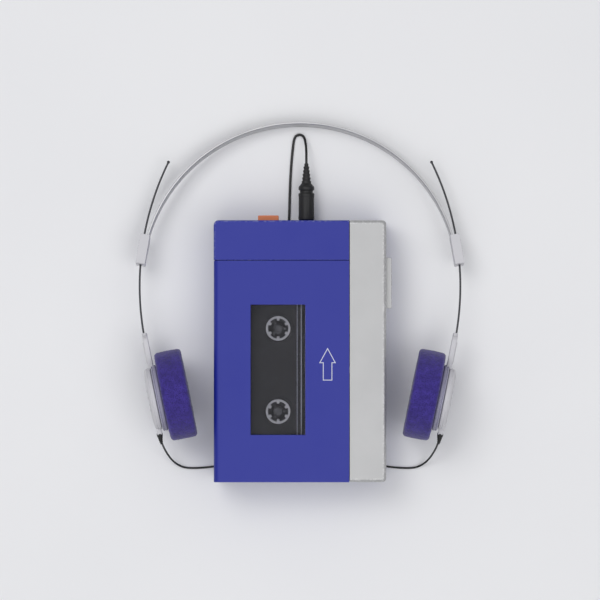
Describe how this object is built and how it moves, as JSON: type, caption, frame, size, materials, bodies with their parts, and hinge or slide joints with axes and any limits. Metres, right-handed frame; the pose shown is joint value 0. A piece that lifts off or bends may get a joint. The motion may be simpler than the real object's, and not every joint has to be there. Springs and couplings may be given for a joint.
{
  "type": "pocket cassette player with headphones",
  "caption": "Pocket cassette player in blue and bare metal, door hinged along its long edge, tape inside, with lightweight foam-pad headphones plugged in.",
  "frame": {"origin": "bottom centre of the player and headset together, on the surface the player's feet stand on", "axes": "+X the player's right edge, where its keys are; +Y its top edge, where the plug goes in; +Z out of its front face"},
  "size_m": [0.1688, 0.185, 0.0464],
  "materials": {
    "blue_metal": "satin metallic blue paint on pressed metal",
    "bare_metal": "brushed bare aluminium, clear-coated",
    "steel": "zinc-plated sheet steel",
    "brass": "turned brass",
    "black_plastic": "black moulded plastic",
    "black_rubber": "black rubber",
    "smoked_window": "smoked clear plastic",
    "cassette_shell": "dark grey cassette plastic",
    "pale_plastic": "light grey moulded plastic",
    "orange_plastic": "orange moulded plastic",
    "circuit_green": "green laminate",
    "cell_wrap": "printed film over steel",
    "foam": "open-cell blue foam",
    "band_steel": "thin spring steel, satin",
    "cap_plastic": "pale grey moulded plastic"
  },
  "bodies": {
    "player": {"back_cover": "blue_metal", "well_frame": "blue_metal", "front_cap": "blue_metal", "side_panel": "bare_metal", "door_hinge_pin": "steel", "battery_cell_1": "cell_wrap", "battery_cell_2": "cell_wrap", "foot_1": "black_rubber", "foot_2": "black_rubber", "foot_3": "black_rubber", "foot_4": "black_rubber", "deck_plate": "steel", "motor": "steel", "drive_belt": "black_rubber", "circuit_board": "circuit_green", "headphone_jack": "black_plastic", "spare_jack": "black_plastic"},
    "door": {"cassette_door": "blue_metal", "door_window": "smoked_window", "cassette_holder": "steel", "cassette_back_half": "cassette_shell", "cassette_front_half": "cassette_shell"},
    "takeup_reel_body": {"takeup_reel": "pale_plastic"},
    "supply_reel_body": {"supply_reel": "pale_plastic"},
    "takeup_spindle_body": {"takeup_spindle": "pale_plastic"},
    "supply_spindle_body": {"supply_spindle": "pale_plastic"},
    "flywheel_body": {"flywheel": "brass"},
    "idler_body": {"idler_wheel": "black_rubber"},
    "pulley_body": {"motor_pulley": "brass"},
    "bridge_body": {"head_bridge": "steel", "playback_head": "steel"},
    "arm_body": {"pinch_arm": "steel"},
    "roller_body": {"pinch_roller": "black_rubber"},
    "play_key_body": {"play_key": "bare_metal"},
    "stop_key_body": {"stop_key": "bare_metal"},
    "rewind_key_body": {"rewind_key": "bare_metal"},
    "forward_key_body": {"forward_key": "bare_metal"},
    "volume_left_body": {"volume_slider_left": "black_plastic"},
    "volume_right_body": {"volume_slider_right": "black_plastic"},
    "talk_button_body": {"talk_button": "orange_plastic"},
    "battery_cap_body": {"battery_cap": "blue_metal"},
    "headset": {"headband": "band_steel", "band_sleeve_left": "pale_plastic", "band_sleeve_right": "pale_plastic", "plug": "black_plastic", "main_cord": "black_rubber", "cord_coil": "black_rubber", "cord_split": "black_rubber", "cord_left": "black_rubber", "cord_right": "black_rubber"},
    "rod_left": {"slide_rod_left": "black_plastic"},
    "rod_right": {"slide_rod_right": "black_plastic"},
    "ear_left": {"ear_plate_left": "cap_plastic", "ear_cap_left": "cap_plastic", "ear_pad_left": "foam"},
    "ear_right": {"ear_plate_right": "cap_plastic", "ear_cap_right": "cap_plastic", "ear_pad_right": "foam"}
  },
  "joints": [
    {"name": "door_open", "type": "hinge", "parent": "player", "child": "door", "pos_m": [-0.041, -0.0257, 0.028], "axis": [0, -1, 0], "range_deg": [0, 88]},
    {"name": "flywheel_turn", "type": "hinge", "parent": "player", "child": "flywheel_body", "pos_m": [0.018, -0.0099, 0], "axis": [0, 0, 1], "continuous": true},
    {"name": "pulley_turn", "type": "hinge", "parent": "player", "child": "pulley_body", "pos_m": [-0.027, 0.0243, 0], "axis": [0, 0, 1], "continuous": true},
    {"name": "idler_turn", "type": "hinge", "parent": "player", "child": "idler_body", "pos_m": [0.00489, -0.01181, 0], "axis": [0, 0, 1], "continuous": true},
    {"name": "takeup_spindle_turn", "type": "hinge", "parent": "player", "child": "takeup_spindle_body", "pos_m": [-0.0112, -0.01415, 0], "axis": [0, 0, 1], "continuous": true},
    {"name": "supply_spindle_turn", "type": "hinge", "parent": "player", "child": "supply_spindle_body", "pos_m": [-0.0112, -0.05665, 0], "axis": [0, 0, 1], "continuous": true},
    {"name": "takeup_reel_turn", "type": "hinge", "parent": "door", "child": "takeup_reel_body", "pos_m": [-0.0112, -0.01415, 0], "axis": [0, 0, 1], "continuous": true},
    {"name": "supply_reel_turn", "type": "hinge", "parent": "door", "child": "supply_reel_body", "pos_m": [-0.0112, -0.05665, 0], "axis": [0, 0, 1], "continuous": true},
    {"name": "play_key_press", "type": "slide", "parent": "player", "child": "play_key_body", "axis": [-1, 0, 0], "range_m": [0, 0.0023], "stiffness_N_per_m": 120},
    {"name": "stop_key_press", "type": "slide", "parent": "player", "child": "stop_key_body", "axis": [-1, 0, 0], "range_m": [0, 0.0018], "stiffness_N_per_m": 120},
    {"name": "rewind_key_press", "type": "slide", "parent": "player", "child": "rewind_key_body", "axis": [-1, 0, 0], "range_m": [0, 0.0018], "stiffness_N_per_m": 120},
    {"name": "forward_key_press", "type": "slide", "parent": "player", "child": "forward_key_body", "axis": [-1, 0, 0], "range_m": [0, 0.0018], "stiffness_N_per_m": 120},
    {"name": "bridge_slide", "type": "slide", "parent": "player", "child": "bridge_body", "axis": [-1, 0, 0], "range_m": [0, 0.004]},
    {"name": "pinch_arm_swing", "type": "hinge", "parent": "bridge_body", "child": "arm_body", "pos_m": [0.0291, 0.0053, 0.025], "axis": [0, 0, -1], "range_deg": [0, 4.2]},
    {"name": "pinch_roller_turn", "type": "hinge", "parent": "arm_body", "child": "roller_body", "pos_m": [0.0291, -0.0099, 0], "axis": [0, 0, 1], "continuous": true},
    {"name": "volume_left_slide", "type": "slide", "parent": "player", "child": "volume_left_body", "axis": [0, 1, 0], "range_m": [-0.008, 0.008]},
    {"name": "volume_right_slide", "type": "slide", "parent": "player", "child": "volume_right_body", "axis": [0, 1, 0], "range_m": [-0.008, 0.008]},
    {"name": "talk_button_press", "type": "slide", "parent": "player", "child": "talk_button_body", "axis": [0, -1, 0], "range_m": [0, 0.002], "stiffness_N_per_m": 120},
    {"name": "battery_cap_pull", "type": "slide", "parent": "player", "child": "battery_cap_body", "axis": [0, -1, 0], "range_m": [0, 0.012]},
    {"name": "plug_pull", "type": "slide", "parent": "player", "child": "headset", "axis": [0, 1, 0], "range_m": [0, 0.02]},
    {"name": "rod_slide_left", "type": "hinge", "parent": "headset", "child": "rod_left", "pos_m": [0.0649, 0.0085, 0.01595], "axis": [0, -0.1324, -0.9912], "range_deg": [0, 13]},
    {"name": "ear_swivel_left", "type": "hinge", "parent": "rod_left", "child": "ear_left", "pos_m": [-0.07993, -0.01811, 0.01951], "axis": [0.1822, -0.9746, 0.1302], "range_deg": [-15, 15]},
    {"name": "rod_slide_right", "type": "hinge", "parent": "headset", "child": "rod_right", "pos_m": [-0.0649, 0.0085, 0.01595], "axis": [0, 0.1324, 0.9912], "range_deg": [0, 13]},
    {"name": "ear_swivel_right", "type": "hinge", "parent": "rod_right", "child": "ear_right", "pos_m": [0.07993, -0.01811, 0.01951], "axis": [-0.1822, -0.9746, 0.1302], "range_deg": [-15, 15]}
  ],
  "couplings": [
    {"joint": "pulley_turn", "follows": "flywheel_turn", "ratio": 3.4667},
    {"joint": "idler_turn", "follows": "flywheel_turn", "ratio": -0.86331},
    {"joint": "takeup_spindle_turn", "follows": "flywheel_turn", "ratio": 0.66667},
    {"joint": "takeup_reel_turn", "follows": "flywheel_turn", "ratio": 0.66667},
    {"joint": "supply_spindle_turn", "follows": "flywheel_turn", "ratio": 0.46667},
    {"joint": "supply_reel_turn", "follows": "flywheel_turn", "ratio": 0.46667},
    {"joint": "pinch_roller_turn", "follows": "flywheel_turn", "ratio": -0.26667},
    {"joint": "bridge_slide", "follows": "play_key_press", "ratio": 1.739},
    {"joint": "pinch_arm_swing", "follows": "play_key_press", "rad_per_m": 31}
  ]
}
